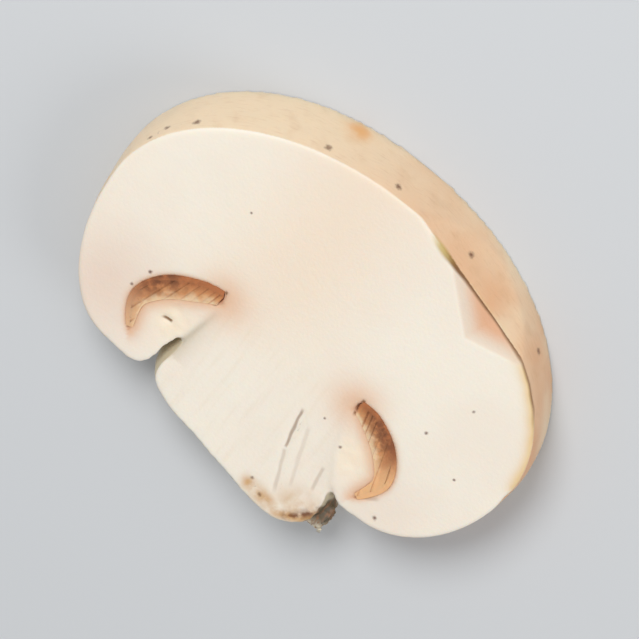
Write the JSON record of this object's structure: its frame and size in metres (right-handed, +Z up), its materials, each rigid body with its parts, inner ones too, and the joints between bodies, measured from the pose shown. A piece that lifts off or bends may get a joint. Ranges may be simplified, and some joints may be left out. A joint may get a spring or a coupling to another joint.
{
  "type": "sliced button mushroom",
  "caption": "Lengthwise slice of a closed white button mushroom lying flat: domed cap, thick stem with a trimmed foot, and brown gills in a pocket on each side.",
  "frame": {"origin": "middle of the slice's outline, on the surface that its lower cut face lies on", "axes": "+X across the cap, +Y from the foot of the stem towards the crown, +Z up through the slice"},
  "size_m": [0.0548, 0.0406, 0.007],
  "materials": {
    "flesh": "moist matt cream flesh with tan skin round the cap",
    "gills": "matt warm brown, darker between the blades"
  },
  "bodies": {
    "root": {"flesh": "flesh", "gills_left": "gills", "gills_right": "gills"}
  },
  "joints": []
}
